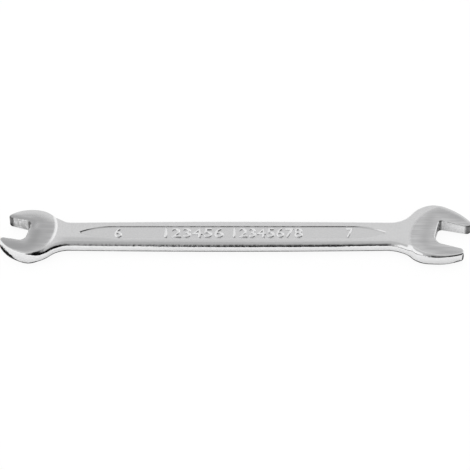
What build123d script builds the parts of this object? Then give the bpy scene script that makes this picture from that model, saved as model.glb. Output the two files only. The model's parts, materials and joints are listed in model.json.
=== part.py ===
from build123d import *
import os
from dataclasses import dataclass
from math import radians, sqrt, tan

os.makedirs("parts", exist_ok=True)

# A double open end wrench, forged in one piece: a flat shank with a slim recessed panel
# on both faces, and at each end a head with an open jaw that leans off the shank's line.
# The shank runs along X, its faces look up and down, and everything is in millimetres.

# The whole wrench
head_spacing = 98.7
opening_angle = 15.0
small_head_rise = 0.05
large_head_rise = 0.4

# Shank
shank_width = 8.2
neck_width = 7.2
shank_thickness = 3.3
shank_edge_radius = 1.3
tight_neck_radius = 7.0
easy_neck_radius = 9.3

# Recessed panel, the same on both faces
panel_length = 75.6
panel_point = 8.4
panel_width = 3.9
panel_depth = 0.3
panel_draft = 20.0

# Both heads: their faces are flat at the back and slope towards the jaw tips
head_thickness = 4.1
face_taper = 3.45
face_land_end = -3.0
jaw_clearance = 0.08
wall_step = 0.05
rim_radius = 0.35
cut_overrun = 5.0
level_share = 0.001

# Small head, 6 mm across flats
small_jaw = 6.0
small_shoulder_radius = 7.0
small_shoulder_spread = 0.3
small_shoulder_set_back = 0.35
small_cheek_radius = 9.3
small_tip_radius = 0.8
small_reach = 6.65
small_root = 0.6
small_root_radius = 1.6
small_root_easy_radius = 1.6
small_step_radius = 9.95
small_step_ahead = 3.7
small_step_aside = -0.6
small_step_run = 0.45

# Large head, 7 mm across flats
large_jaw = 7.0
large_shoulder_radius = 5.8
large_shoulder_spread = 2.6
large_shoulder_set_back = 1.3
large_cheek_radius = 17.0
large_tip_radius = 1.05
large_reach = 8.25
large_root = 0.4
large_root_radius = 1.1
large_root_easy_radius = 2.2
large_step_radius = 12.3
large_step_ahead = 5.9
large_step_aside = -1.7
large_step_run = 1.3


@dataclass
class Head:
    """One head. Its own frame has the opening along +X and the head's centre at zero."""

    place: Location
    jaw: float
    shoulder_radius: float
    shoulder_spread: float
    shoulder_set_back: float
    cheek_radius: float
    tip_radius: float
    reach: float
    root: float
    root_radius: float
    root_easy_radius: float
    step_radius: float
    step_ahead: float
    step_aside: float
    step_run: float

    @property
    def half_jaw(self):
        return (self.jaw + jaw_clearance) / 2

    @property
    def shoulder(self):
        return Vector(-self.shoulder_set_back, self.shoulder_spread)

    @property
    def half_width(self):
        return self.shoulder_spread + self.shoulder_radius


small_head = Head(
    place=Pos(-head_spacing / 2, small_head_rise) * Rot(0, 0, 180 - opening_angle),
    jaw=small_jaw,
    shoulder_radius=small_shoulder_radius,
    shoulder_spread=small_shoulder_spread,
    shoulder_set_back=small_shoulder_set_back,
    cheek_radius=small_cheek_radius,
    tip_radius=small_tip_radius,
    reach=small_reach,
    root=small_root,
    root_radius=small_root_radius,
    root_easy_radius=small_root_easy_radius,
    step_radius=small_step_radius,
    step_ahead=small_step_ahead,
    step_aside=small_step_aside,
    step_run=small_step_run,
)

large_head = Head(
    place=Pos(head_spacing / 2, large_head_rise) * Rot(0, 0, -opening_angle),
    jaw=large_jaw,
    shoulder_radius=large_shoulder_radius,
    shoulder_spread=large_shoulder_spread,
    shoulder_set_back=large_shoulder_set_back,
    cheek_radius=large_cheek_radius,
    tip_radius=large_tip_radius,
    reach=large_reach,
    root=large_root,
    root_radius=large_root_radius,
    root_easy_radius=large_root_easy_radius,
    step_radius=large_step_radius,
    step_ahead=large_step_ahead,
    step_aside=large_step_aside,
    step_run=large_step_run,
)


def lower_meeting(first, first_radius, second, second_radius):
    """Where two circles cross, on the right of the way from the first centre to the second."""
    gap = (second - first).length
    way = (second - first).normalized()
    along = (first_radius**2 - second_radius**2 + gap**2) / (gap + gap)
    aside = sqrt(first_radius**2 - along**2)
    return first + way * along + Vector(way.Y, -way.X) * aside


def mirrored(point):
    return Vector(point.X, -point.Y)


def head_face(head):
    """Plan of a head with its opening: round shoulders, cheeks that close in, round jaw tips."""
    shoulder = head.shoulder
    tip = Vector(head.reach - head.tip_radius, head.half_jaw + head.tip_radius)
    cheek = lower_meeting(
        shoulder, head.cheek_radius - head.shoulder_radius, tip, head.cheek_radius - head.tip_radius
    )
    shoulder_end = shoulder + (shoulder - cheek).normalized() * head.shoulder_radius
    tip_start = tip + (tip - cheek).normalized() * head.tip_radius
    cheek_middle = cheek + ((shoulder_end + tip_start) / 2 - cheek).normalized() * head.cheek_radius
    shoulder_back = shoulder - Vector(head.shoulder_radius, 0)
    shoulder_middle = (shoulder_end + shoulder_back) / 2 - shoulder
    flat_end = tip - Vector(0, head.tip_radius)
    tip_nose = tip + ((tip_start + flat_end) / 2 - tip).normalized() * head.tip_radius
    upper_side = [
        ThreePointArc(
            shoulder_back, shoulder + shoulder_middle.normalized() * head.shoulder_radius, shoulder_end
        ),
        ThreePointArc(shoulder_end, cheek_middle, tip_start),
        ThreePointArc(tip_start, tip_nose, flat_end),
        Line(flat_end, (head.root, head.half_jaw)),
    ]
    lower_side = [edge.mirror(Plane.XZ) for edge in upper_side]
    back = Line(shoulder_back, mirrored(shoulder_back))
    root = Line((head.root, head.half_jaw), (head.root, -head.half_jaw))
    face = make_face([back, root] + upper_side + lower_side)
    for y_way, radius in ((1, head.root_radius), (-1, head.root_easy_radius)):
        corner = Vector(head.root, y_way * head.half_jaw)
        face = fillet(min(face.vertices(), key=lambda v: (v.center() - corner).length), radius)
    return face


def slope_section(head):
    """Side view of the wedge above a head's sloping face."""
    half = head_thickness / 2
    front = head.reach + cut_overrun
    drop = tan(radians(face_taper)) * (front - face_land_end)
    return make_face(Polyline((face_land_end, half), (front, half), (front, half - drop), close=True))


def step_mound(head):
    """Round platform that carries a head's faces. Its flanks run on down to the middle plane."""
    head_half = head_thickness / 2
    shank_half = shank_thickness / 2
    middle_radius = head.step_radius + shank_half * head.step_run / (head_half - shank_half)
    upper = [(0, head_half), (head.step_radius - head.step_run, head_half), (middle_radius, 0)]
    lower = [(head.step_radius - head.step_run, -head_half), (0, -head_half)]
    mound = revolve(Plane.XZ * make_face(Polyline(upper + lower, close=True)), Axis.Z)
    return head.place * Pos(head.step_ahead, head.step_aside) * mound


def shank_face(stand_out):
    """Plan of the shank and both crowns, with the four necks blended in and its walls moved out."""
    half = head_spacing / 2
    end = neck_width / 2 + stand_out
    side = ThreePointArc((-half, end), (0, shank_width / 2 + stand_out), (half, end))
    ends = [Line((x, end), (x, -end)) for x in (-half, half)]
    face = make_face([side, side.mirror(Plane.XZ)] + ends)
    for head in (small_head, large_head):
        for centre in (head.shoulder, mirrored(head.shoulder)):
            face = face + head.place * Pos(centre) * Circle(head.shoulder_radius - wall_step + stand_out)
    for x_way, y_way, radius in (
        (-1, -1, tight_neck_radius),
        (1, 1, tight_neck_radius),
        (-1, 1, easy_neck_radius),
        (1, -1, easy_neck_radius),
    ):
        necks = [v for v in face.vertices() if v.X * x_way > 0 and v.Y * y_way > 0]
        neck = min(necks, key=lambda v: abs(v.X))
        face = fillet(neck, radius=radius - stand_out)
    return face


def jaw_room(head):
    """Front of a head, where the shoulder circles give way to the head's own plan."""
    ahead = head.reach + cut_overrun
    room = Pos(ahead / 2, 0) * Rectangle(ahead, 2 * (head.half_width + cut_overrun))
    return head.place * room


def wrench_face():
    """Plan of the whole wrench, with both openings."""
    face = shank_face(wall_step)
    for head in (small_head, large_head):
        face = face - jaw_room(head)
        face = face + head.place * head_face(head)
    return face


def shank_plate():
    """Shank and shoulders at the shank's thickness, with generously rounded edges."""
    plate = extrude(shank_face(0), shank_thickness / 2, both=True)
    plate = fillet(plate.faces().filter_by(Axis.Z).edges(), shank_edge_radius)
    for head in (small_head, large_head):
        plate = plate - extrude(jaw_room(head), shank_thickness, both=True)
    return plate


def head_plate():
    """The whole plan at the heads' thickness, sloped at both ends, with its rims just broken."""
    plate = extrude(wrench_face(), head_thickness / 2, both=True)
    for head in (small_head, large_head):
        slope = extrude(Plane.XZ * slope_section(head), head.half_width + cut_overrun, both=True)
        plate = plate - head.place * slope - head.place * slope.mirror(Plane.XY)
    walls = [face for face in plate.faces() if abs(face.normal_at(face.center()).Z) < level_share]
    rims = [edge for edge in ShapeList(walls).edges() if abs((edge % 0.5).Z) < 1 - level_share]
    return fillet(rims, rim_radius)


def panel_face():
    """Plan of the recessed panel: parallel sides, ends drawn to a point by two arcs."""
    half = panel_width / 2
    point = panel_length / 2
    straight = point - panel_point
    end_radius = (panel_point**2 + half**2) / panel_width
    sides = [Line((-straight, y), (straight, y)) for y in (-half, half)]
    ends = [
        RadiusArc((x_way * straight, y_way * half), (x_way * point, 0), x_way * y_way * end_radius)
        for x_way in (-1, 1)
        for y_way in (-1, 1)
    ]
    return make_face(sides + ends)


def panel_cut(way):
    """Sloped-wall recess, sunk from the upper face for way 1 and from the lower one for way -1."""
    face = Pos(0, 0, way * shank_thickness / 2) * panel_face()
    return extrude(face, panel_depth, dir=(0, 0, -way), taper=panel_draft)


heads = head_plate()
wrench = shank_plate()
for head in (small_head, large_head):
    wrench = wrench + (heads & step_mound(head))
for way in (1, -1):
    wrench = wrench - panel_cut(way)

# The origin is the middle of the wrench, on the surface that it lies on
box = wrench.bounding_box()
wrench = Pos(-box.center().X, -box.center().Y, -box.min.Z) * wrench

export_step(wrench, "parts/wrench_body.step")
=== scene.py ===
import json
import math
from dataclasses import dataclass

import bmesh
import bpy
import numpy as np
from mathutils import Matrix, Vector
from mathutils.kdtree import KDTree

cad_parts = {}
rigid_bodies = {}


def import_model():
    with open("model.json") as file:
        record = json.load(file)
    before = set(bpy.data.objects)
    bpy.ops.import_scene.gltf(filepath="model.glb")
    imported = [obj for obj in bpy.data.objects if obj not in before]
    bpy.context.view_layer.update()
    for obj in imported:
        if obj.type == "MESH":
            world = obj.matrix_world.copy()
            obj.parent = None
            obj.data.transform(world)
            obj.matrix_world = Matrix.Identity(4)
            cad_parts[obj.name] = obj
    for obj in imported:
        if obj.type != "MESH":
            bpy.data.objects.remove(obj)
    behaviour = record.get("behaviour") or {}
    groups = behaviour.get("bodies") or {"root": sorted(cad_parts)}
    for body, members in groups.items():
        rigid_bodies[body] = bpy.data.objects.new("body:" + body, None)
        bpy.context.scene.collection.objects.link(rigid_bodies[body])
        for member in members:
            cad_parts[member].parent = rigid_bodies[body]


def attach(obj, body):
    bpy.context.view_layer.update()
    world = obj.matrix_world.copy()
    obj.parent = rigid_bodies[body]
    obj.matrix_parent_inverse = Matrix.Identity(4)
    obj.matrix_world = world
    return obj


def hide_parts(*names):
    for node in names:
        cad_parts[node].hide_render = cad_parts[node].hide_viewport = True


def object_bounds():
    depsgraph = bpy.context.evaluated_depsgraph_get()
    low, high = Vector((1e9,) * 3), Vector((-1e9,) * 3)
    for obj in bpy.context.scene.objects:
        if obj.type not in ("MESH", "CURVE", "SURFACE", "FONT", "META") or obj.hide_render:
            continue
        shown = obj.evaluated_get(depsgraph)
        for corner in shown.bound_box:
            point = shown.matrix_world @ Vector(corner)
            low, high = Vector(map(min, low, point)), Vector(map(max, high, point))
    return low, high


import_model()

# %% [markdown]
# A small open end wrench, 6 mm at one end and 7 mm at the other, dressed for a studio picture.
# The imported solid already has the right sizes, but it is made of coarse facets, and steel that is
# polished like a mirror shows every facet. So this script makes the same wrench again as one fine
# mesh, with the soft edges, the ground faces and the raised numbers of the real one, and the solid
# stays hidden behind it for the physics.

bpy.data.batch_remove([o for o in bpy.data.objects if o.name in ("Cube", "Light", "Camera")])
cad_low, cad_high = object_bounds()
millimetre = 0.001
middle_height = (cad_high.z + cad_low.z) / 2 / millimetre
print("solid", [round(x / millimetre, 2) for x in cad_high - cad_low], "mm")

# %% [markdown]
# The sizes come first, in millimetres, and they are the solid's own. Everything is drawn lying in
# the middle plane of the wrench, with the shank along X, and is moved to its place at the end.

# %% Sizes of the whole wrench
head_spacing = 98.7
opening_angle = math.radians(15)
shank_width = 8.2
neck_width = 7.2
shank_half = 3.3 / 2
head_half = 4.1 / 2
shank_edge_radius = 1.3
tight_neck_radius = 7.0
easy_neck_radius = 9.3
wall_step = 0.05
jaw_clearance = 0.08
face_taper = math.tan(math.radians(3.45))
face_land_end = -3.0
print("shank", shank_width, "mm wide at its middle and", neck_width, "mm at its necks")

# %% [markdown]
# Each head is described in a frame of its own: its opening points along u, and v goes across it.
# That way both heads share one drawing, though they are turned and placed differently. The outline
# has the solid's sizes. The step and the edges were read from the lines of light that they draw.


# %% A head and its own frame
@dataclass
class Head:
    """One head, with its place in the wrench and the sizes of its outline, step and edges."""

    spot: Vector
    way: float
    jaw: float
    shoulder_radius: float
    shoulder_spread: float
    shoulder_set_back: float
    cheek_radius: float
    tip_radius: float
    reach: float
    root: float
    root_radius: float
    root_easy_radius: float
    step_radius: float
    step_ahead: float
    step_aside: float
    step_run: float
    edge_radii: tuple
    edge_offsets: tuple
    slot_edge_radius: float

    @property
    def half_jaw(self):
        return (self.jaw + jaw_clearance) / 2

    def out(self, u, v):
        """The point of the wrench's frame that this point of the head's frame is."""
        return self.spot + Matrix.Rotation(self.way, 2) @ Vector((u, v))

    def own(self, x, y):
        """Arrays of places in the wrench's frame, as u and v."""
        dx, dy = x - self.spot.x, y - self.spot.y
        cosine, sine = math.cos(self.way), math.sin(self.way)
        return dx * cosine + dy * sine, dy * cosine - dx * sine

    def from_step_centre(self, x, y):
        u, v = self.own(x, y)
        return np.hypot(u - self.step_ahead, v - self.step_aside)


# %% The two heads
small_head = Head(
    spot=Vector((-head_spacing / 2, 0.05)), way=math.pi - opening_angle, jaw=6.0,
    shoulder_radius=7.0, shoulder_spread=0.3, shoulder_set_back=0.35, cheek_radius=9.3,
    tip_radius=0.8, reach=6.65, root=0.6, root_radius=1.6, root_easy_radius=1.6,
    step_radius=10.15, step_ahead=3.7, step_aside=-0.6, step_run=1.0,
    edge_radii=(0.4, 0.6), edge_offsets=(1.4, 0.0), slot_edge_radius=0.35,
)
large_head = Head(
    spot=Vector((head_spacing / 2, 0.4)), way=-opening_angle, jaw=7.0,
    shoulder_radius=5.8, shoulder_spread=2.6, shoulder_set_back=1.3, cheek_radius=17.0,
    tip_radius=1.05, reach=8.25, root=0.4, root_radius=1.1, root_easy_radius=2.2,
    step_radius=12.3, step_ahead=5.9, step_aside=-1.7, step_run=1.3,
    edge_radii=(0.8, 0.3), edge_offsets=(-2.2, 1.2), slot_edge_radius=0.28,
)
heads = (small_head, large_head)
print("jaws", [round(2 * head.half_jaw, 2) for head in heads], "mm wide")

# %% [markdown]
# The outline of a forging is a walk along arcs and short straight runs that meet without corners.
# It could be drawn point by point, but then its smoothness would rest on a long list of numbers.
# Here it is written the way a draughtsman would: a list of circles, each with the way that the
# walk turns round it. Where two of them touch follows from their centres and radii alone.


# %% Arcs and straight runs
@dataclass
class Arc:
    """A stretch round a centre. A positive turn goes to the left, and its size is the radius."""

    centre: Vector
    turn: float


@dataclass
class Run:
    """A straight stretch between two arcs, in this direction."""

    way: Vector


def left_of(way):
    return Vector((-way.y, way.x))


def join(first, second):
    """Where one stretch hands over to the next."""
    if isinstance(first, Run):
        return second.centre - left_of(first.way) * second.turn
    if isinstance(second, Run):
        return first.centre - left_of(second.way) * first.turn
    share = first.turn / (first.turn - second.turn)
    return first.centre + (second.centre - first.centre) * share


def meeting(first, first_radius, second, second_radius):
    """Where two circles cross, on the right of the way from the first centre to the second."""
    gap = (second - first).length
    way = (second - first).normalized()
    along = (first_radius**2 - second_radius**2 + gap**2) / (2 * gap)
    return first + way * along - left_of(way) * math.sqrt(first_radius**2 - along**2)


# %% Outline of a head
def head_stretches(head):
    """A head's outline, from its shoulder at -v round both jaws to its shoulder at +v."""
    shoulder = Vector((-head.shoulder_set_back, head.shoulder_spread))
    tip = Vector((head.reach - head.tip_radius, head.half_jaw + head.tip_radius))
    cheek = meeting(
        shoulder, head.cheek_radius - head.shoulder_radius, tip, head.cheek_radius - head.tip_radius
    )
    forward = head.out(1, 0) - head.spot
    across = head.out(0, 1) - head.spot
    lower = [
        Arc(head.out(shoulder.x, -shoulder.y), head.shoulder_radius),
        Arc(head.out(cheek.x, -cheek.y), head.cheek_radius),
        Arc(head.out(tip.x, -tip.y), head.tip_radius),
    ]
    easy, tight = head.root_easy_radius, head.root_radius
    slot = [
        Run(-forward),
        Arc(head.out(head.root + easy, easy - head.half_jaw), -easy),
        Run(across),
        Arc(head.out(head.root + tight, head.half_jaw - tight), -tight),
        Run(forward),
    ]
    upper = [
        Arc(head.out(tip.x, tip.y), head.tip_radius),
        Arc(head.out(cheek.x, cheek.y), head.cheek_radius),
        Arc(head.out(shoulder.x, shoulder.y), head.shoulder_radius),
    ]
    return lower + slot + upper


# %% Outline of the wrench
def wrench_stretches():
    """The whole outline, walked to the left, from the shank's lower side."""
    end = neck_width / 2 + wall_step
    middle = shank_width / 2 + wall_step
    swell = middle - end
    side_radius = ((head_spacing / 2) ** 2 + swell**2) / (2 * swell)
    lower_side = Arc(Vector((0, side_radius - middle)), side_radius)
    upper_side = Arc(Vector((0, middle - side_radius)), side_radius)

    def neck(side, shoulder, radius):
        own = radius - wall_step
        return Arc(meeting(side.centre, side_radius + own, shoulder.centre, shoulder.turn + own), -own)

    def neck_before(shoulder, side, radius):
        own = radius - wall_step
        return Arc(meeting(shoulder.centre, shoulder.turn + own, side.centre, side_radius + own), -own)

    large = head_stretches(large_head)
    small = head_stretches(small_head)
    return (
        [lower_side, neck(lower_side, large[0], easy_neck_radius)]
        + large
        + [neck_before(large[-1], upper_side, tight_neck_radius), upper_side]
        + [neck(upper_side, small[0], easy_neck_radius)]
        + small
        + [neck_before(small[-1], lower_side, tight_neck_radius)]
    )


stretches = wrench_stretches()
print("stretches of the outline", len(stretches))

# %% [markdown]
# The walk itself is a single vertex that is spun round each centre and pushed along each straight
# run, which leaves a chain of short edges behind. Short means a fifth of a millimetre, so that no
# corner shows at the size of the picture.

# %% Walk along the stretches
outline_spacing = 0.2
same_place = 0.001


def walk(stretches, spacing):
    """A bmesh with a closed chain of edges along the stretches."""
    chain = bmesh.new()
    joins = [join(stretches[i - 1], stretches[i]) for i in range(len(stretches))]
    last = bmesh.ops.create_vert(chain, co=joins[0].to_3d())["vert"][0]
    for i, stretch in enumerate(stretches):
        start, end = joins[i], joins[(i + 1) % len(joins)]
        if isinstance(stretch, Run):
            steps = max(1, round((end - start).length / spacing))
            for _ in range(steps):
                made = bmesh.ops.extrude_vert_indiv(chain, verts=[last])
                last = made["verts"][0]
                last.co += ((end - start) / steps).to_3d()
            continue
        sweep = (start - stretch.centre).angle_signed(end - stretch.centre)
        turned = -sweep % math.tau if stretch.turn > 0 else -(sweep % math.tau)
        steps = max(2, round(abs(turned * stretch.turn) / spacing))
        made = bmesh.ops.spin(
            chain, geom=[last], cent=stretch.centre.to_3d(), axis=(0, 0, 1), angle=turned, steps=steps
        )
        last = [v for v in made["geom_last"] if isinstance(v, bmesh.types.BMVert)][0]
        last.co = end.to_3d()
    bmesh.ops.remove_doubles(chain, verts=chain.verts, dist=same_place)
    return chain


# %% Places and directions along the outline
def in_order(chain):
    """The closed chain's places in walking order, with the inside on their left."""
    order, edge = [chain.verts[:][0]], None
    while len(order) < len(chain.verts):
        onward = [e for e in order[-1].link_edges if e is not edge]
        edge = onward[-1] if edge is None else onward[0]
        order.append(edge.other_vert(order[-1]))
    places = np.array([v.co.to_2d() for v in order])
    turned = np.roll(places, -1, axis=0)
    area = np.sum(places[:, 0] * turned[:, 1] - places[:, 1] * turned[:, 0]) / 2
    return places if area > 0 else places[::-1]


def outward(places):
    """For each place of a closed loop walked to the left, the direction out of it."""
    along = np.roll(places, -1, axis=0) - np.roll(places, 1, axis=0)
    out = np.stack([along[:, 1], -along[:, 0]], axis=1)
    return out / np.linalg.norm(out, axis=1, keepdims=True)


outline = in_order(walk(stretches, outline_spacing))
outline_out = outward(outline)
centre = (outline.min(0) + outline.max(0)) / 2
print("outline points", len(outline), "size", (outline.max(0) - outline.min(0)).round(3))

# %% [markdown]
# The recessed panel has an outline too, drawn with the same walk. Its long ends are two flat arcs
# that close in on a small round point, as the die that pressed it would have them.

# %% Outline of the panel
panel_length = 75.6
panel_point = 8.4
panel_width = 3.9
panel_depth = 0.3
panel_tip_radius = 0.3


def panel_stretches():
    half = panel_width / 2
    straight = panel_length / 2 - panel_point
    end_radius = (panel_point**2 + half**2) / panel_width
    tip_reach = math.sqrt((end_radius - panel_tip_radius) ** 2 - (end_radius - half) ** 2)
    made = []
    for way in (1, -1):
        made += [
            Run(Vector((way, 0))),
            Arc(Vector((way * straight, way * (end_radius - half))), end_radius),
            Arc(Vector((way * (straight + tip_reach), 0)), panel_tip_radius),
            Arc(Vector((way * straight, way * (half - end_radius))), end_radius),
        ]
    return made


panel = in_order(walk(panel_stretches(), outline_spacing))
panel_out = outward(panel)
print("panel points", len(panel), "length", round(np.ptp(panel[:, 0]), 2))

# %% [markdown]
# How far a place lies inside an outline decides nearly everything: how round the edge is there,
# where the flat begins, how deep the panel has sunk. Looking up the nearest outline point in a
# k-d tree answers it quickly, and the outline's own direction there says which side it is on.


# %% Distance inside an outline
def tree_of(places):
    tree = KDTree(len(places))
    for i, place in enumerate(places):
        tree.insert((place[0], place[1], 0), i)
    tree.balance()
    return tree


def nearest(points, tree):
    """For each point, which place of the outline is nearest."""
    return np.array([tree.find((x, y, 0))[1] for x, y in points])


def depth_inside(points, loop, out, near):
    """How far each point lies inside the loop, below zero outside it."""
    return -np.sum((points - loop[near]) * out[near], axis=1)


outline_tree = tree_of(outline)
panel_tree = tree_of(panel)


def depth_in_panel(points):
    return depth_inside(points, panel, panel_out, nearest(points, panel_tree))


print("the wrench's middle is", round(depth_in_panel(np.zeros((1, 2)))[0], 2), "mm inside the panel")

# %% [markdown]
# The upper surface is one function of the place: the shank's level, two round platforms for the
# heads that slope towards the jaws, and the step between them. On the small head the step is
# narrow. On the large head it is wider and soft.

# %% Height of the upper surface
slope_softness = 1.2


def smooth(t):
    t = np.clip(t, 0, 1)
    return t * t * (3 - 2 * t)


def rise(x, start, run):
    """Zero before the start, one a run later, and a smooth rise between them."""
    return smooth((x - start) / run)


def platform(head, x, y):
    """One on a head's ground face, zero on the shank, and between them on the step."""
    return smooth((head.step_radius - head.from_step_centre(x, y)) / head.step_run)


def surface_height(x, y):
    height = np.full(len(x), shank_half)
    for head in heads:
        ahead = head.own(x, y)[0] - face_land_end
        eased = np.clip(ahead, 0, None) ** 2 / (2 * slope_softness)
        sloped = np.where(ahead < slope_softness, eased, ahead - slope_softness / 2)
        level = head_half - face_taper * sloped
        height = height + platform(head, x, y) * (level - shank_half)
    return height


tip_height = surface_height(*np.array([large_head.out(large_head.reach, 5)]).T)[0]
print("height over the middle plane: shank", shank_half, "large tip", round(tip_height, 2))

# %% [markdown]
# The edges are rounded by hand on a polishing wheel, so the roundness differs along the outline:
# generous on the shank, small round the heads and smaller towards their tips, and nearly sharp in
# the jaws, which were broached after the forging. One bevel would be the same all round, so the
# radius is a function of the place as well.

# %% Roundness of the edges
edge_run = 2.6
side_run = 2.0
tip_thinning = 0.4
tip_thinning_start = 1
tip_thinning_run = 4


def edge_radius(x, y):
    radius = np.full(len(x), shank_edge_radius)
    for head in heads:
        u, v = head.own(x, y)
        side = smooth((v + side_run) / (2 * side_run))
        offset = head.edge_offsets[0] + side * (head.edge_offsets[1] - head.edge_offsets[0])
        own = head.edge_radii[0] + side * (head.edge_radii[1] - head.edge_radii[0])
        near_end = head.step_radius + offset + edge_run / 2
        near = smooth((near_end - head.from_step_centre(x, y)) / edge_run)
        off_slot = smooth((np.abs(v) - head.half_jaw) / (2 * head.tip_radius))
        in_slot = np.where(u > head.root - same_place, 1 - off_slot, 0)
        own = own * (1 - tip_thinning * rise(u, tip_thinning_start, tip_thinning_run))
        own = own + in_slot * (head.slot_edge_radius - own)
        radius = radius + near * (own - radius)
    return radius


radii = edge_radius(outline[:, 0], outline[:, 1])
print("edge radii from", round(radii.min(), 2), "to", round(radii.max(), 2), "mm")

# %% [markdown]
# The mesh is built flat, like a sheet of card, and raised afterwards. Three kinds of patches keep
# its edges in line with what they describe: bands that follow the outline for the round edges, a
# spun fan round each step's centre, so that the step runs along its rings, and a plain grid on the
# shank. The seams between the patches are flat, and there a triangle fill is good enough.

# %% Loops and bands
body = bmesh.new()
height_layer = body.verts.layers.float.new("set_height")


def loop_of(places, height):
    """A closed loop of edges on these places, all at one height."""
    verts = [body.verts.new((x, y, 0)) for x, y in places]
    for vert in verts:
        vert[height_layer] = height
    edges = [body.edges.new((verts[i - 1], verts[i])) for i in range(len(verts))]
    return verts, edges


def extruded_from(vert, new_verts):
    """The new vertex that this one was extruded to."""
    return next(e.other_vert(vert) for e in vert.link_edges if e.other_vert(vert) in new_verts)


def band(verts, edges, places, heights):
    """Extrudes a loop and lays the new one on these places, at these heights."""
    made = bmesh.ops.extrude_edge_only(body, edges=edges)["geom"]
    new_verts = {g for g in made if isinstance(g, bmesh.types.BMVert)}
    new_edges = [g for g in made if isinstance(g, bmesh.types.BMEdge) and set(g.verts) <= new_verts]
    fresh = [extruded_from(vert, new_verts) for vert in verts]
    for vert, (x, y), height in zip(fresh, places, heights):
        vert.co = (x, y, 0)
        vert[height_layer] = height
    return fresh, new_edges


# %% Bands of the round edge
edge_steps = 9
flat_margin = 0.1

verts, edges = loop_of(outline, 0)
for i in range(edge_steps + 1):
    turn = math.pi / 2 * i / edge_steps
    ring = outline - outline_out * (radii * (1 - math.cos(turn)))[:, None]
    heights = surface_height(ring[:, 0], ring[:, 1]) - radii * (1 - math.sin(turn))
    verts, edges = band(verts, edges, ring, heights)
ring = outline - outline_out * (radii + flat_margin)[:, None]
verts, edges = band(verts, edges, ring, surface_height(ring[:, 0], ring[:, 1]))
print("faces round the edge", len(body.faces))

# %% [markdown]
# The panel's wall is a band of its own. Its profile is a list of pairs: how far inside the panel's
# outline, and how deep. Near the panel's two ends the far wall leans more, where the polishing
# wheel has worn it, and catches a broader line of light.

# %% Bands of the panel's wall
panel_profile = (
    (-0.14, 0.0), (-0.05, 0.0), (0.0, 0.03), (0.05, 0.15), (0.1, 0.26), (0.15, 0.3), (0.42, 0.3)
)
wall_foot = 0.2
worn_at = 33.0
worn_run = 2.5
worn_more = 1.3

worn = np.exp(-(((np.abs(panel[:, 0]) - worn_at) / worn_run) ** 2)) * (panel[:, 1] > 0)
wall_width = 1 + worn_more * worn
inset, drop = panel_profile[0]
verts, edges = loop_of(panel - panel_out * inset, shank_half - drop)
for inset, drop in panel_profile[1:]:
    width = wall_width if 0 < inset < wall_foot else np.ones(len(panel))
    ring = panel - panel_out * (inset * width)[:, None]
    verts, edges = band(verts, edges, ring, np.full(len(panel), shank_half - drop))
print("faces in all bands", len(body.faces))

# %% [markdown]
# A fan starts as one radial line of vertices, close together where the step is, and is spun right
# round the step's centre. What falls outside the wrench, or too near its edge, is cut away again.

# %% Trimming a patch
not_set = -100.0
seam = 0.14


def room_left(points):
    """How far each point is from the place where the flat surface ends."""
    near = nearest(points, outline_tree)
    return depth_inside(points, outline, outline_out, near) - radii[near] - flat_margin


def places_of(verts):
    return np.array([v.co.to_2d() for v in verts])


def trim(verts, keep):
    """Deletes the vertices that aren't kept, and what is left hanging by a corner."""
    bmesh.ops.delete(body, geom=[v for v, k in zip(verts, keep) if not k], context="VERTS")
    left = [v for v in verts if v.is_valid]
    while True:
        loose = [v for v in left if not v.link_faces or sum(e.is_boundary for e in v.link_edges) > 2]
        if not loose:
            return left
        bmesh.ops.delete(body, geom=loose, context="VERTS")
        left = [v for v in left if v.is_valid]


# %% Fans
fan_spacing = 0.3
step_rings = 8


def fan_radii(head):
    foot, top = head.step_radius, head.step_radius - head.step_run
    fine = head.step_run / step_rings
    inner = np.linspace(fan_spacing, top - fine, round(top / fan_spacing))
    step = np.linspace(top, foot, step_rings + 1)
    outer = np.array([foot + fine, foot + 2 * fan_spacing])
    return np.concatenate([inner, step, outer])


for head in heads:
    middle = head.out(head.step_ahead, head.step_aside)
    line = [body.verts.new((middle.x + r, middle.y, 0)) for r in fan_radii(head)]
    spokes = [body.edges.new(pair) for pair in zip(line, line[1:])]
    count = round(math.tau * head.step_radius / fan_spacing)
    before = set(body.verts) - set(line)
    bmesh.ops.spin(
        body, geom=line + spokes, cent=middle.to_3d(), axis=(0, 0, 1), angle=math.tau, steps=count,
        use_merge=True,
    )
    fan = [v for v in body.verts if v not in before]
    for vert in fan:
        vert[height_layer] = not_set
    left = trim(fan, room_left(places_of(fan)) > seam)
    print("fan", len(left), "vertices")

# %% [markdown]
# The grid covers the whole shank at first. It keeps clear of the fans and of the panel's wall, and
# what lies inside the panel becomes its floor.

# %% Grid
columns, rows = round(head_spacing / fan_spacing), round(shank_width / fan_spacing)
half_size = Matrix.Diagonal((head_spacing / 2, shank_width / 2, 1, 1))
grid = bmesh.ops.create_grid(
    body, x_segments=columns, y_segments=rows, size=1, matrix=half_size
)["verts"]
spots = places_of(grid)
keep = room_left(spots) > seam
for head in heads:
    keep &= head.from_step_centre(spots[:, 0], spots[:, 1]) > fan_radii(head)[-1] + seam
in_panel = depth_in_panel(spots)
keep &= (in_panel < panel_profile[0][0] - seam) | (in_panel > panel_profile[-1][0] + seam)
for vert, depth in zip(grid, in_panel):
    vert[height_layer] = shank_half - panel_depth if depth > 0 else not_set
trim(grid, keep)
print("faces in the patches", len(body.faces))

# %% [markdown]
# The seams are the gaps that are left between the patches. Their borders are the edges with one
# face only, apart from the outline itself, and one triangle fill closes them all. Then the sheet of
# card is raised to its heights.

# %% Fill the seams and raise the surface
rim = {v for v in body.verts if v[height_layer] == 0}
border = [e for e in body.edges if e.is_boundary and not rim.issuperset(e.verts)]
filled = bmesh.ops.triangle_fill(body, use_beauty=True, edges=border, normal=(0, 0, 1))["geom"]
print("faces in the seams", sum(isinstance(g, bmesh.types.BMFace) for g in filled))

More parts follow.
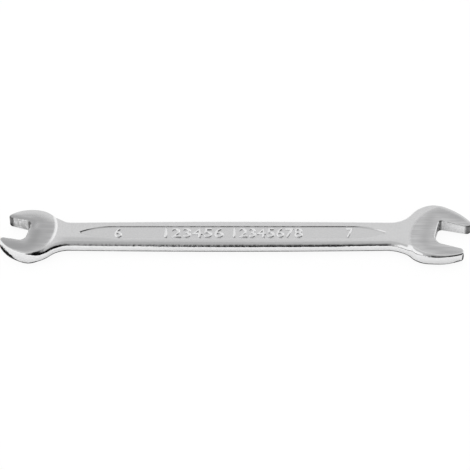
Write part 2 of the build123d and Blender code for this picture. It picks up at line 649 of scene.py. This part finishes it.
spots = places_of(body.verts)
x, y = spots[:, 0], spots[:, 1]
for vert, height in zip(body.verts, surface_height(x, y)):
    chosen = vert[height_layer]
    vert.co.z = height if chosen == not_set else chosen

# %% [markdown]
# The steel is the same all over, but its finish isn't: the head faces are ground, the edges are polished
# and the jaws broached. Some shares are painted shade and painted light instead. The finishes could be
# painted by hand. Here each one's share follows from the distances above, so that it ends exactly where
# the shape does, and every vertex stores one number for each finish and each painted shade.


# %% Looks of the two heads
@dataclass
class HeadLook:
    """How a head's face and slot differ over it: chatter marks, and where shade and light are painted. The
    far side is away from the camera.
    """

    head: Head
    far_side: int
    chatter: float
    corner_reach: float
    rim_width: float
    painted_face_shade: float
    band_shade: float
    far_band: float


looks = (
    HeadLook(
        small_head, far_side=-1, chatter=1.0, corner_reach=0.75, rim_width=2.7, painted_face_shade=0.4,
        band_shade=0.77, far_band=1.1,
    ),
    HeadLook(
        large_head, far_side=1, chatter=0.15, corner_reach=0.5, rim_width=0.8, painted_face_shade=0.0,
        band_shade=0.4, far_band=2.3,
    ),
)
room = room_left(spots)
inner = rise(room, -2 * flat_margin, 2 * flat_margin)
on_face = np.clip(sum(platform(head, x, y) for head in heads), 0, 1)
print("vertices on ground faces", int(np.sum(on_face * inner > 0.5)))

# %% [markdown]
# In a slot the broach leaves chatter marks on the walls. Two corners of the far side, at the root and
# where the wall turns into the tip, get painted shade: near-black, where the real slot reflects the table
# in its own shadow.

# %% Marks and painted shade in the slots
tip_shade_reach = 0.95
corner_shade_core = 1.6
corner_shade_fall = 1.3

broached = np.zeros(len(spots))
painted_corner_shade = np.zeros(len(spots))
for look in looks:
    head = look.head
    u, v = head.own(x, y)
    beside = np.abs(v) < head.half_jaw + head.slot_edge_radius
    ahead = (u > head.root - head.slot_edge_radius) & (u < head.reach - head.tip_radius)
    broached += look.chatter * (beside & ahead)
    root_corner = (head.root + 0.3, head.half_jaw - 0.3, look.corner_reach)
    tip_corner = (head.reach - 0.5, head.half_jaw + 0.2, tip_shade_reach)
    for corner_u, corner_v, reach in (root_corner, tip_corner):
        away = np.hypot(u - corner_u, v - look.far_side * corner_v) / reach
        painted_corner_shade += smooth(corner_shade_core - away * corner_shade_fall)
print("vertices in dark corners", int(np.sum(painted_corner_shade > 0.5)))

# %% [markdown]
# A ground face isn't evenly bright, and here that is painted: painted shade in a band round the slot, with
# its near lips and the far rim left lighter as painted light. The shank gets painted shade along its near
# side, more so towards the small head.

# %% Painted shade of the faces and the shank
band_middle = 2.3
band_width = 1.3
side_change = 2
lip_width = 1.5
lip_light = 0.75
rim_start = 0.5
near_shade_middle = 0.2
near_shade_lean = 0.0038
near_shade_edge = 2.0
near_shade_edge_left = 0.8
near_shade_run = 0.8
# Each pair is where a change starts and how far it runs
shank_left = (26, 8)
shank_ends = (40, 4)
shank_edges = (-1.3, 0.3)

painted_face_shade = np.zeros(len(spots))
painted_light_rim = np.zeros(len(spots))
for look in looks:
    head = look.head
    u, v = head.own(x, y)
    from_slot = np.hypot(np.clip(np.abs(v) - head.half_jaw, 0, None), np.clip(head.root - u, 0, None))
    on_head = smooth((head.step_radius - head.from_step_centre(x, y)) / side_change)
    on_far_side = smooth(look.far_side * v / side_change)
    middle = band_middle + on_far_side * (look.far_band - band_middle)
    in_band = np.exp(-(((from_slot - middle) / band_width) ** 2))
    on_lip = lip_light * (1 - on_far_side) * (1 - smooth(from_slot / lip_width))
    painted_face_shade += on_head * (look.painted_face_shade + (look.band_shade - look.painted_face_shade) * in_band) * (1 - on_lip)
    on_rim = platform(head, x, y) * (1 - smooth(room / look.rim_width))
    painted_light_rim += on_rim * on_far_side * rise(from_slot, rim_start, lip_width)

# Painted light: at the far rim the ground finish gives way to the lighter satin
ground = on_face**3 * inner * (1 - painted_light_rim)
# Painted shade along the shank's near side, stronger towards the small head
near_shade_start = near_shade_edge - near_shade_edge_left * rise(-x, *shank_left)
painted_near_shade = (near_shade_middle - near_shade_lean * x) * rise(-y, near_shade_start, near_shade_run)
painted_near_shade = painted_near_shade * (1 - rise(np.abs(x), *shank_ends)) * rise(room, *shank_edges)
print("vertices with some shade", int(np.sum(painted_face_shade * ground + painted_near_shade > 0.1)))

# %% Store the shares
finish_and_shade_shares = {
    "ground": ground,
    "polished": 1 - inner,
    "broached": broached * (1 - inner),
    "painted_corner_shade": np.clip(painted_corner_shade, 0, 1) * (1 - inner),
    "painted_shade": painted_face_shade * ground + painted_near_shade,
    "rubbed": np.zeros(len(spots)),
    "sunk": smooth(depth_in_panel(spots) / wall_foot),
}
for name, shares in finish_and_shade_shares.items():
    layer = body.verts.layers.float.new(name)
    for vert, share in zip(body.verts, shares):
        vert[layer] = share
print("finish_and_shade_shares", ", ".join(finish_and_shade_shares))

# %% [markdown]
# Both faces of the wrench are alike, so the lower half is the mirror image of the upper one, joined
# to it along the middle of the walls. Then the whole is scaled to metres and moved to its place.

# %% Mirror and place
whole = body.verts[:] + body.edges[:] + body.faces[:]
bmesh.ops.mirror(body, geom=whole, merge_dist=same_place, axis="Z")
bmesh.ops.remove_doubles(body, verts=body.verts, dist=same_place / 10)
bmesh.ops.recalc_face_normals(body, faces=body.faces)
for face in body.faces:
    face.smooth = True
to_middle = Matrix.Translation((-centre[0], -centre[1], middle_height))
to_place = Matrix.Scale(millimetre, 4) @ to_middle
bmesh.ops.transform(body, matrix=to_place, verts=body.verts)


def open_edges(shape):
    return sum(len(e.link_faces) != 2 for e in shape.edges)


print("faces", len(body.faces), "open edges", open_edges(body))
print("volume", round(body.calc_volume() / millimetre**3), "mm3")


# %% The steel piece
def linked(name, shape):
    """A new object in the scene, with this bmesh as its mesh."""
    mesh = bpy.data.meshes.new(name)
    shape.to_mesh(mesh)
    piece = bpy.data.objects.new(name, mesh)
    bpy.context.scene.collection.objects.link(piece)
    return piece


steel = linked("wrench_steel", body)
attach(steel, "root")
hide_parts("wrench_body")
print(steel.name, len(steel.data.vertices), "vertices")

# %% [markdown]
# The panel carries the two jaw sizes beside their jaws, raised by the forging die, and between them
# plain numerals. A font curve gives clean figures: it is thickened and bevelled while it is still
# a curve, made a mesh, and only then laid on the panel's floor, so that nothing slides afterwards.

# %% Figures from the font
numeral_height = 2.9
numeral_rise = 0.28
numeral_edge = 0.15
numeral_root = 0.05
numeral_thinning = 0.1
font_size = 4.0


def drafted(name, words):
    """The figures as the font draws them, thin, with round edges, as a closed bmesh."""
    letters = bpy.data.curves.new(name, "FONT")
    letters.body = words
    letters.size = font_size
    letters.extrude = (numeral_rise + numeral_root) / 2 - numeral_edge
    letters.bevel_depth = numeral_edge
    letters.bevel_resolution = 3
    letters.offset = -numeral_thinning
    draft = bpy.data.objects.new(name, letters)
    bpy.context.scene.collection.objects.link(draft)
    bpy.context.view_layer.update()
    figures = bmesh.new()
    figures.from_mesh(bpy.data.meshes.new_from_object(draft))
    bpy.data.objects.remove(draft)
    bmesh.ops.remove_doubles(figures, verts=figures.verts, dist=same_place)
    bmesh.ops.recalc_face_normals(figures, faces=figures.faces)
    return figures


# %% Raised numerals
flat_enough = 0.99


def numerals(name, words, middle_x, width, turned_over=False):
    """Raised figures round this place along the panel, as wide as given, on either face."""
    figures = drafted(name, words)
    corners = np.array([v.co for v in figures.verts])
    low, high = corners.min(0), corners.max(0)
    bmesh.ops.translate(figures, vec=-Vector((low + high) / 2), verts=figures.verts)
    fit = Vector((width / (high[0] - low[0]), numeral_height / (high[1] - low[1]), 1))
    bmesh.ops.scale(figures, vec=fit, verts=figures.verts)
    level = shank_half - panel_depth + (numeral_rise - numeral_root) / 2
    bmesh.ops.translate(figures, vec=(middle_x, 0, level), verts=figures.verts)
    if turned_over:
        over = Matrix.Rotation(math.pi, 3, "X")
        bmesh.ops.rotate(figures, cent=(middle_x, 0, 0), matrix=over, verts=figures.verts)
    for face in figures.faces:
        face.smooth = abs(face.normal.z) < flat_enough
    rubbed = figures.verts.layers.float.new("rubbed")
    for vert in figures.verts:
        vert[rubbed] = 1
    bmesh.ops.transform(figures, matrix=to_place, verts=figures.verts)
    piece = linked(name, figures)
    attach(piece, "root")
    print(name, len(figures.faces), "faces, open edges", open_edges(figures))
    return piece


figures = [
    numerals("size_small", "6", -27.9, 1.9),
    numerals("size_large", "7", 28.6, 1.7),
    numerals("row_short", "123456", -9.4, 14.4),
    numerals("row_long", "12345678", 8.6, 17.0),
    numerals("size_small_below", "6", -27.9, 1.9, turned_over=True),
    numerals("size_large_below", "7", 28.6, 1.7, turned_over=True),
]

# %% [markdown]
# Materials are sums of patterns, and sums read best as Python. The first class below wraps one
# socket and gives it Python's own signs, so that `1 - mask` adds a Math node by itself. Every other
# node comes from one method, which takes the node's type, its settings and what its sockets are fed.


# %% Sockets with Python's signs
class Feed:
    """What comes out of one socket of a node."""

    def __init__(self, recipe, socket):
        self.recipe, self.socket = recipe, socket

    def maths(self, operation, *others, clamp=False):
        settings = {"operation": operation, "use_clamp": clamp}
        return self.recipe.node("ShaderNodeMath", settings, dict(enumerate((self, *others))))[0]

    def __add__(self, other):
        return self.maths("ADD", other)

    def __sub__(self, other):
        return self.maths("SUBTRACT", other)

    def __mul__(self, other):
        return self.maths("MULTIPLY", other)

    def __neg__(self):
        return self.maths("MULTIPLY", -1.0)

    __radd__ = __add__
    __rmul__ = __mul__

    def __rsub__(self, other):
        return self.recipe.node("ShaderNodeMath", {"operation": "SUBTRACT"}, {0: other, 1: self})[0]

    def clamp(self):
        return self.maths("ADD", 0.0, clamp=True)

    def between(self, low, high):
        """Zero below low, one above high, and a smooth rise between them."""
        settings = {"interpolation_type": "SMOOTHSTEP", "clamp": True}
        sockets = {"Value": self, "From Min": low, "From Max": high, "To Min": 0.0, "To Max": 1.0}
        return self.recipe.node("ShaderNodeMapRange", settings, sockets)["Result"]


# %% Recipes for node trees
class Node:
    """A node whose outputs are picked by name or number."""

    def __init__(self, recipe, node):
        self.recipe, self.node = recipe, node

    def __getitem__(self, key):
        return Feed(self.recipe, self.node.outputs[key])


class Recipe:
    """A node tree that is written as a recipe."""

    def __init__(self, tree):
        self.tree = tree
        tree.nodes.clear()

    def node(self, kind, settings, sockets):
        made = self.tree.nodes.new(kind)
        for key, value in settings.items():
            setattr(made, key, value)
        for key, value in sockets.items():
            socket = made.inputs[key]
            if isinstance(value, Feed):
                self.tree.links.new(value.socket, socket)
            else:
                socket.default_value = value
        return Node(self, made)

    def mix(self, share, first, second):
        """A colour between two, by share."""
        return self.node("ShaderNodeMix", {"data_type": "RGBA"}, {"Factor": share, 6: first, 7: second})[2]

    def vector(self, operation, first, second):
        return self.node("ShaderNodeVectorMath", {"operation": operation}, {0: first, 1: second})[0]

    def noise(self, place, scale, detail=2.0, stretch=(1, 1, 1)):
        """Noise with features of about one over scale metres, drawn out along the axes."""
        where = self.vector("MULTIPLY", place, stretch)
        sockets = {"Vector": where, "Scale": scale, "Detail": detail}
        return self.node("ShaderNodeTexNoise", {}, sockets)["Fac"]


def new_material(name):
    material = bpy.data.materials.new(name)
    material.use_nodes = True
    return material, Recipe(material.node_tree)


# %% [markdown]
# The whole wrench is one piece of chromed steel, so it is one material. What changes over it is the
# finish, by the shares that the mesh carries: satin on the shank, ground with a fine belt on the head
# faces, which leaves short scratches along the wrench and makes the metal a little darker, and bright
# where the raised figures are rubbed. The mesh also carries painted shade, a dark grey on the faces and
# the shank's near side and a near-black in the slot corners, and painted light, where the ground finish
# gives way to satin. The patterns are about a millimetre wide or finer, apart from a slow cloud over the
# satin.


# %% Chromed steel
def grey(value, blue=0.005):
    """A grey with the trace of blue that chrome has."""
    return (value, value, value + blue, 1)


def chromed_steel():
    material, r = new_material("chromed_steel")
    place = r.node("ShaderNodeTexCoord", {}, {})["Object"]
    ground, polished, broached, painted_corner_shade, painted_shade, rubbed, sunk = (
        r.node("ShaderNodeAttribute", {"attribute_name": name}, {})["Fac"] for name in finish_and_shade_shares
    )
    scratches = r.noise(place, scale=1400.0, detail=3.0, stretch=(0.12, 1.3, 1))
    fine = r.noise(place, scale=2600.0, detail=3.0)
    cloud = r.noise(place, scale=160.0)
    chatter = r.noise(place, scale=1500.0, detail=3.0, stretch=(1, 1, 0.5))
    waves = r.noise(place, scale=900.0, detail=1.0)

    satin = r.mix(0.4 * cloud + 0.6 * fine.between(0.3, 0.7), grey(0.75), grey(0.82))
    satin = r.mix(sunk * 0.25, satin, grey(0.6))
    scratched = r.mix(scratches.between(0.3, 0.7), grey(0.555), grey(0.685))
    colour = r.mix(ground, satin, scratched)
    # Painted shade: dark grey in a band on the head faces and along the shank's near side
    colour = r.mix(painted_shade, colour, grey(0.38))
    colour = r.mix(rubbed, colour, grey(0.93))
    colour = r.mix(broached * chatter.between(0.35, 0.65), colour, grey(0.5, 0.0))
    # Painted shade: near-black in two corners of each slot's far side
    colour = r.mix(painted_corner_shade * 0.85, colour, grey(0.05, 0.0))

    roughness = 0.17 + 0.06 * fine + ground * 0.12 - polished * 0.12
    roughness = roughness + broached * 0.15 + painted_corner_shade * 0.2
    skin = fine * 2 + polished * waves * 7 + sunk * waves * 3
    height = (1 - ground) * skin + ground * scratches + broached * chatter * 3
    relief = {"Strength": 1.0, "Distance": 0.000008, "Height": height}
    bump = r.node("ShaderNodeBump", {}, relief)["Normal"]
    surface = {"Base Color": colour, "Metallic": 1.0, "Roughness": roughness, "Normal": bump}
    shader = r.node("ShaderNodeBsdfPrincipled", {}, surface)[0]
    r.node("ShaderNodeOutputMaterial", {}, {"Surface": shader})
    return material


steel_finish = chromed_steel()
for piece in [steel, *figures]:
    piece.data.materials.clear()
    piece.data.materials.append(steel_finish)
print("nodes in the steel", len(steel_finish.node_tree.nodes))

# %% [markdown]
# The wrench lies on a white table. In the picture the table has to be pure white, which no lit paper
# is, so the camera sees it mostly as a glow. The metal sees the paper, with the wrench's own
# shadow on it, and that keeps the near wall a soft grey.

# %% Table
table_half = 1.5
table_gap = 0.00002
camera_glow = 0.92
mirror_glow = 0.05
glass_glow = 0.9


def white_table():
    material, r = new_material("white_table")
    rays = r.node("ShaderNodeLightPath", {}, {})
    seen = camera_glow * rays["Is Camera Ray"] + mirror_glow * rays["Is Glossy Ray"]
    seen = seen + glass_glow * rays["Is Transmission Ray"]
    paper = r.node("ShaderNodeBsdfDiffuse", {}, {"Color": (0.9, 0.9, 0.9, 1)})[0]
    glow = r.node("ShaderNodeEmission", {}, {"Color": (1, 1, 1, 1), "Strength": 1.0})[0]
    both = r.node("ShaderNodeMixShader", {}, {0: seen.clamp(), 1: paper, 2: glow})[0]
    r.node("ShaderNodeOutputMaterial", {}, {"Surface": both})
    return material


sheet = bmesh.new()
bmesh.ops.create_grid(sheet, x_segments=1, y_segments=1, size=table_half)
bmesh.ops.translate(sheet, vec=(0, 0, -table_gap), verts=sheet.verts)
table = linked("table", sheet)
table.data.materials.append(white_table())
print("table", 2 * table_half, "m wide")

# %% [markdown]
# Black cards are how a photographer draws dark lines on chrome. One lies in front of the wrench in
# two strips, so that its near edge shows a black line where it turns from the table to the room.
# The other lies under it and stands out by a hair. It is a painted contact shadow, a black sheet where the
# table would only be in shade, so that the lowest edge reflects a thin dark outline. Only the reflections
# see them: they stay out of the picture.

# %% Black card
card_lift = -0.01 * millimetre


def black_card(name, sheet):
    """A sheet of black card that lies on the table and is seen by the metal only."""
    for vert in sheet.verts:
        vert.co.z = card_lift
    material, r = new_material(name)
    surface = r.node("ShaderNodeBsdfDiffuse", {}, {"Color": (0.02, 0.02, 0.02, 1)})[0]
    r.node("ShaderNodeOutputMaterial", {}, {"Surface": surface})
    card = linked(name, sheet)
    card.data.materials.append(material)
    card.visible_camera = card.visible_diffuse = card.visible_shadow = False


# %% Card in front
front_gap = 0.018
front_turn = math.radians(4.5)
front_length = 0.4
front_strips = ((-0.022, 0.028), (0.044, 0.08))

front_sheet = bmesh.new()
for left, right in front_strips:
    half_size = Matrix.Diagonal(((right - left) / 2, front_length / 2, 1, 1))
    strip = bmesh.ops.create_grid(front_sheet, x_segments=1, y_segments=1, size=1, matrix=half_size)
    to_front = ((left + right) / 2, -front_gap - front_length / 2, 0)
    bmesh.ops.translate(front_sheet, vec=to_front, verts=strip["verts"])
turn = Matrix.Rotation(front_turn, 3, "Z")
bmesh.ops.rotate(front_sheet, cent=(0, -front_gap, 0), matrix=turn, verts=front_sheet.verts)
black_card("front_card", front_sheet)
print("strips in front", len(front_strips))

# %% [markdown]
# The card underneath, the painted contact shadow, follows the outline. It stands out more round the jaw
# tips, most of all at the large head's near tip, where the photograph's outline is thick, and it draws
# back in the slots.

# %% Painted contact shadow underneath
shank_margin = 0.35
neck_more = 0.15
right_less = 0.12
left_less = 0.2
jaw_margins = ((small_head, 0.9, 1), (large_head, 0.35, 4))
jaw_run = 4
tip_more = 2.4
slot_margin = -0.3
# Each pair is where a change starts and how far it runs
card_necks, card_ends = (42, 3), (38, 4)
card_right, card_left = (10, 8), (18, 16)
tip_facing = (0.78, 0.2)

x = outline[:, 0]
margin = shank_margin + neck_more * rise(np.abs(x), *card_necks)
margin = margin - right_less * rise(x, *card_right) * (1 - rise(x, *card_ends))
margin = margin - left_less * rise(-x, *card_left) * (1 - rise(-x, *card_ends))
for head, more, start in jaw_margins:
    u, v = head.own(outline[:, 0], outline[:, 1])
    margin = margin + more * rise(u, start, jaw_run)
    if head is large_head:
        on_near_tip = (v < 0) & (u > head.reach - head.tip_radius)
        margin = margin + tip_more * rise(outline_out[:, 0], *tip_facing) * on_near_tip
    in_slot = (np.abs(v) < head.half_jaw + same_place) & (u > head.root - same_place)
    margin = np.where(in_slot, slot_margin, margin)

contact_shadow_sheet = bmesh.new()
corners = [contact_shadow_sheet.verts.new((*place, 0)) for place in outline + outline_out * margin[:, None]]
border = [contact_shadow_sheet.edges.new((corners[i - 1], corners[i])) for i in range(len(corners))]
bmesh.ops.triangle_fill(contact_shadow_sheet, use_beauty=True, edges=border, normal=(0, 0, 1))
bmesh.ops.transform(contact_shadow_sheet, matrix=to_place, verts=contact_shadow_sheet.verts)
black_card("under_card", contact_shadow_sheet)
print("card stands out by", round(margin.min(), 2), "to", round(margin.max(), 2), "mm")

# %% [markdown]
# Chrome shows its surroundings, so the room is what makes it look like chrome. A picture of a real
# studio could stand in for it, but here the room is worked out from the direction alone: a pale
# ceiling, a dark end behind the camera with a dark skirting under it, a dark corner at the front
# right, and two white boards, one on the left and one at the back right. Only reflections see
# them. Everything else is lit by an even white.

# %% Room
ceiling_light = 0.77
ceiling_fall = 0.22
skirting_dark = 0.9
board_light = 1.12
darkest = 0.97


def soft_room():
    world = bpy.data.worlds.new("soft_room")
    world.use_nodes = True
    r = Recipe(world.node_tree)
    way = r.node("ShaderNodeTexCoord", {}, {})["Generated"]
    parts = r.node("ShaderNodeSeparateXYZ", {}, {0: way})
    right, back, up = parts["X"], parts["Y"], parts["Z"]

    ceiling = ceiling_light * (1 - ceiling_fall * (-back).between(-0.6, 0.1))
    darker_right = 0.3 + 0.7 * right.between(-0.12, 0.02)
    dark_end = (0.8 * right - back).between(0.1, 0.7) * (1 - up.between(0.3, 1.0)) * darker_right
    skirting = (0.1 - back).between(0.0, 0.3) * (1 - up.between(0.02, 0.14)) * darker_right
    to_back = back.between(-0.05, 0.05)
    dark_corner = right.between(0.3, 0.42) * (1 - to_back) * (1 - up.between(0.6, 0.8))
    left_board = (-right).between(0.2, 0.4) * up.between(0.02, 0.12) * (1 - up.between(0.7, 0.95))
    left_board = left_board * (1 - back.between(0.2, 0.6))
    right_board = right.between(0.15, 0.5) * to_back * (1 - up.between(0.65, 0.9))

    light = ceiling * (1 - darkest * dark_end) * (1 - skirting_dark * skirting)
    light = light * (1 - darkest * dark_corner)
    for board in (left_board, right_board):
        light = light * (1 - board) + board_light * board
    reflected = r.node("ShaderNodeLightPath", {}, {})["Is Glossy Ray"]
    shown = light * reflected + 1.0 * (1 - reflected)
    background = r.node("ShaderNodeBackground", {}, {"Strength": shown, "Color": (1, 1, 1, 1)})[0]
    r.node("ShaderNodeOutputWorld", {}, {"Surface": background})
    return world


room_world = soft_room()
bpy.context.scene.world = room_world
print("nodes in the room", len(room_world.node_tree.nodes))

# %% [markdown]
# One large softbox above and a little behind gives the wrench a faint shadow towards the camera.
# It stays out of the reflections, which the room already has under control.

# %% Lamp
lamp_data = bpy.data.lights.new("softbox", "AREA")
lamp_data.shape = "SQUARE"
lamp_data.size = 0.5
lamp_data.energy = 1.0
lamp = bpy.data.objects.new("softbox", lamp_data)
lamp.location = (-0.1, 0.15, 0.6)
lamp.rotation_euler = (-Vector(lamp.location)).to_track_quat("-Z", "Y").to_euler()
lamp.visible_glossy = False
bpy.context.scene.collection.objects.link(lamp)
print("lamp", lamp_data.energy, "W at", [round(place, 2) for place in lamp.location], "m")

# %% [markdown]
# The camera stands where the photograph was taken from: straight in front, and about half way
# between level and overhead. Its height follows from how much the slots are foreshortened, and its
# distance from how the perspective widens things. The lens is then given by the scale, in pixels
# to a metre at the wrench.

# %% Camera
camera_elevation = math.radians(49.2)
camera_distance = 0.56
looked_at = Vector((-0.00028, -0.00072, 0.00205))
photo_side = 470
photo_scale = 4090.0
sensor_side = 36.0
image_drop = 1.9

camera_data = bpy.data.cameras.new("photo_camera")
camera_data.sensor_width = sensor_side
camera_data.lens = sensor_side * photo_scale * camera_distance / photo_side
camera_data.shift_y = image_drop / photo_side
camera_data.clip_start, camera_data.clip_end = 0.01, 10
camera = bpy.data.objects.new("photo_camera", camera_data)
towards = Vector((0, -math.cos(camera_elevation), math.sin(camera_elevation)))
camera.location = looked_at + towards * camera_distance
camera.rotation_euler = towards.to_track_quat("Z", "Y").to_euler()
bpy.context.scene.collection.objects.link(camera)
bpy.context.scene.camera = camera
bpy.context.scene.view_settings.view_transform = "Standard"
print("lens", round(camera_data.lens, 1), "mm")
